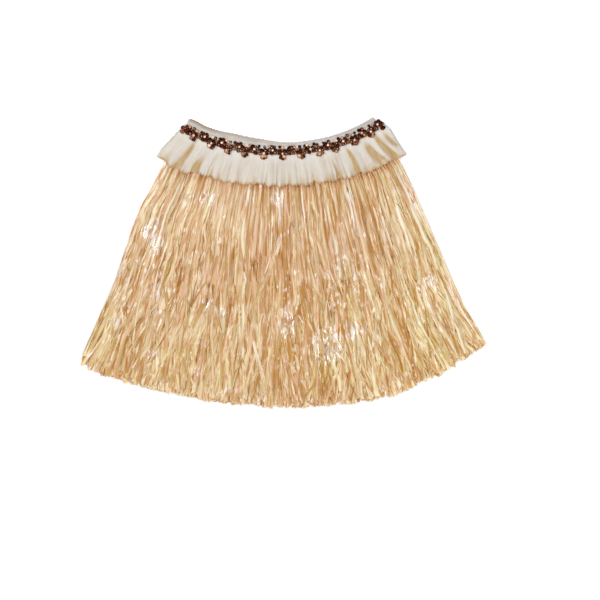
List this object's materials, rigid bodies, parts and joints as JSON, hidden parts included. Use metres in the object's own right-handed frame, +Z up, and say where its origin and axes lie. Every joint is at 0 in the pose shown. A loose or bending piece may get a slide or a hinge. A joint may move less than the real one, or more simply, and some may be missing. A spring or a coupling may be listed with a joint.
{
  "type": "grass skirt",
  "caption": "Straw raffia hula skirt laid flat: a long grass fringe under a gathered cream flounce and a brown beaded waist.",
  "frame": {"origin": "middle of the skirt's box, on the surface it lies on", "axes": "+X to the right of the front as seen from above, +Y towards the waist, +Z up out of the front"},
  "size_m": [0.6878, 0.4904, 0.0248],
  "materials": {
    "band_cloth": "cream elastic casing of plain cotton, gathered",
    "flounce_cloth": "thin cream cloth, gathered, slightly see-through",
    "beads": "glossy dark brown round beads on a brown braid",
    "raffia": "straw-coloured raffia film strips with a silky sparkle"
  },
  "bodies": {
    "root": {"waistband": "band_cloth", "flounce": "flounce_cloth", "bead_trim": "beads", "front_grass": "raffia", "back_grass": "raffia"}
  },
  "joints": []
}
